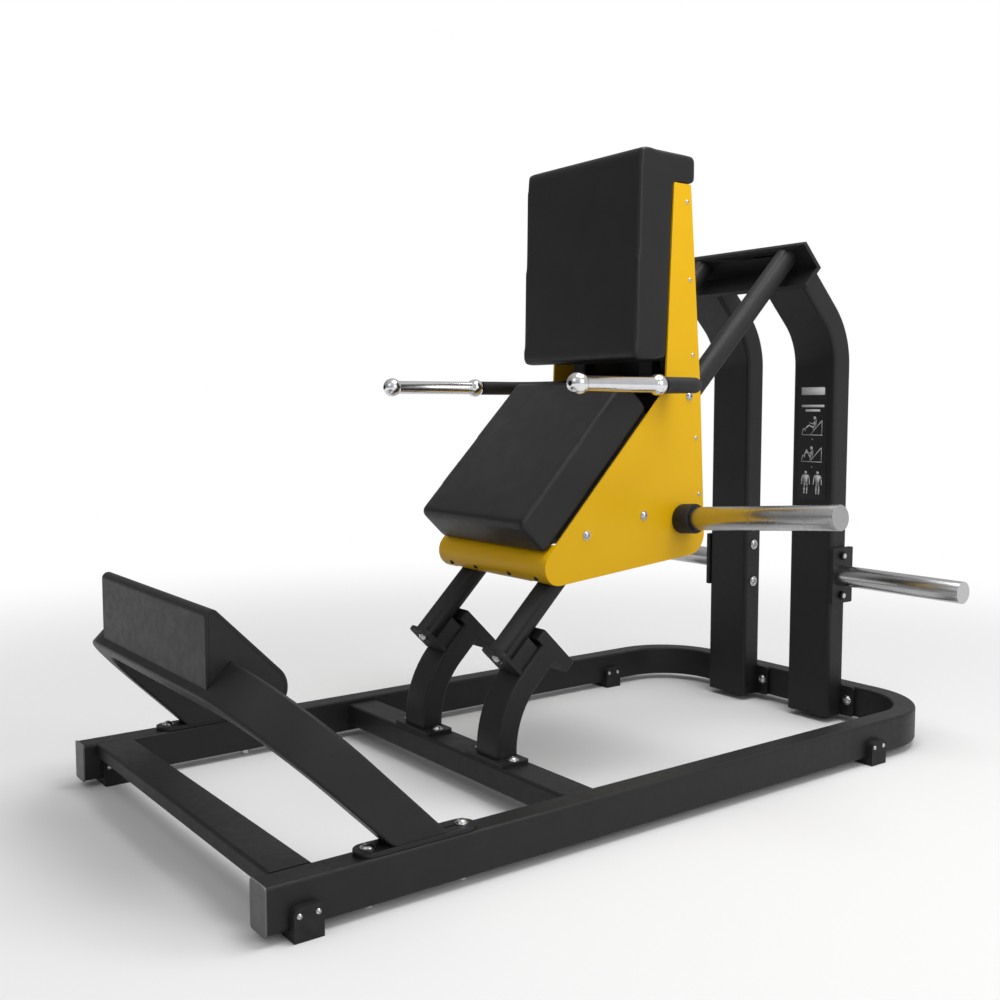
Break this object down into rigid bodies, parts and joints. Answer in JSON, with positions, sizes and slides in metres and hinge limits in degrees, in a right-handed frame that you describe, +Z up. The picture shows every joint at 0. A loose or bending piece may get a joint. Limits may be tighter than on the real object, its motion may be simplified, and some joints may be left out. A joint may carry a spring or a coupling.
{
  "type": "hack squat machine",
  "caption": "Plate-loaded hack squat machine: seat and back carriage on inclined rods over a tube base, with foot plate, handles and weight horns.",
  "frame": {"origin": "on the floor under the middle of the machine's base", "axes": "+X to the side that carries the placard, +Y from the foot plate to the posts, +Z up"},
  "size_m": [1.2082, 1.7385, 1.3106],
  "materials": {
    "frame_powder_coat": "satin textured powder coat",
    "panel_paint": "satin yellow paint",
    "upholstery": "matte vinyl with a fine grain",
    "bare_steel": "satin",
    "chrome": "polished",
    "zinc_fasteners": "zinc plated",
    "dark_fasteners": "black oxide",
    "rubber": "matte",
    "cap_plastic": "matte grey",
    "placard_print": "satin",
    "bush_nylon": "matte",
    "plywood": "raw"
  },
  "bodies": {
    "base": {"side_rail_left": "frame_powder_coat", "side_rail_right": "frame_powder_coat", "rear_bow": "frame_powder_coat", "front_cross_tube": "frame_powder_coat", "mid_cross_tube": "frame_powder_coat", "rail_end_caps": "cap_plastic", "rubber_feet": "rubber", "foot_screws": "zinc_fasteners", "arch_frame": "frame_powder_coat", "arch_base_plates": "frame_powder_coat", "arch_bolts": "zinc_fasteners", "foot_plate": "frame_powder_coat", "foot_plate_sides": "frame_powder_coat", "pedestal_left": "frame_powder_coat", "pedestal_right": "frame_powder_coat", "pedestal_base_plates": "frame_powder_coat", "pedestal_bolts": "zinc_fasteners", "rod_bracket_left": "frame_powder_coat", "rod_bracket_right": "frame_powder_coat", "rod_lower_bolts": "zinc_fasteners", "guide_rod_left": "frame_powder_coat", "guide_rod_right": "frame_powder_coat", "stop_collars": "frame_powder_coat", "stop_bumpers": "rubber", "post_left": "frame_powder_coat", "post_right": "frame_powder_coat", "post_flanges": "frame_powder_coat", "post_flange_bolts": "zinc_fasteners", "gantry_angle": "frame_powder_coat", "rod_top_bolts": "zinc_fasteners", "storage_brackets": "frame_powder_coat", "storage_bolts": "zinc_fasteners", "storage_nuts": "dark_fasteners", "storage_horn_left": "bare_steel", "storage_horn_right": "bare_steel", "placard": "placard_print"},
    "carriage": {"slide_sleeve_left": "frame_powder_coat", "slide_sleeve_right": "frame_powder_coat", "guide_bushes": "bush_nylon", "seat_cross_rail": "frame_powder_coat", "lower_cross_rail": "frame_powder_coat", "back_cross_rail": "frame_powder_coat", "horn_cross_tube": "frame_powder_coat", "horn_gussets": "frame_powder_coat", "back_uprights": "frame_powder_coat", "seat_board": "plywood", "back_board": "plywood", "seat_pad": "upholstery", "back_pad": "upholstery", "side_panel_left": "panel_paint", "side_panel_right": "panel_paint", "front_sheet": "panel_paint", "rear_cover": "frame_powder_coat", "panel_bolts": "zinc_fasteners", "panel_screws": "zinc_fasteners", "sheet_screws": "dark_fasteners", "handle_bar": "frame_powder_coat", "handle_grips": "chrome", "horn_collars": "rubber", "carriage_horns": "bare_steel"}
  },
  "joints": [
    {"name": "carriage_slide", "type": "slide", "parent": "base", "child": "carriage", "axis": [0, 0.7071, 0.7071], "range_m": [0, 0.4]}
  ]
}
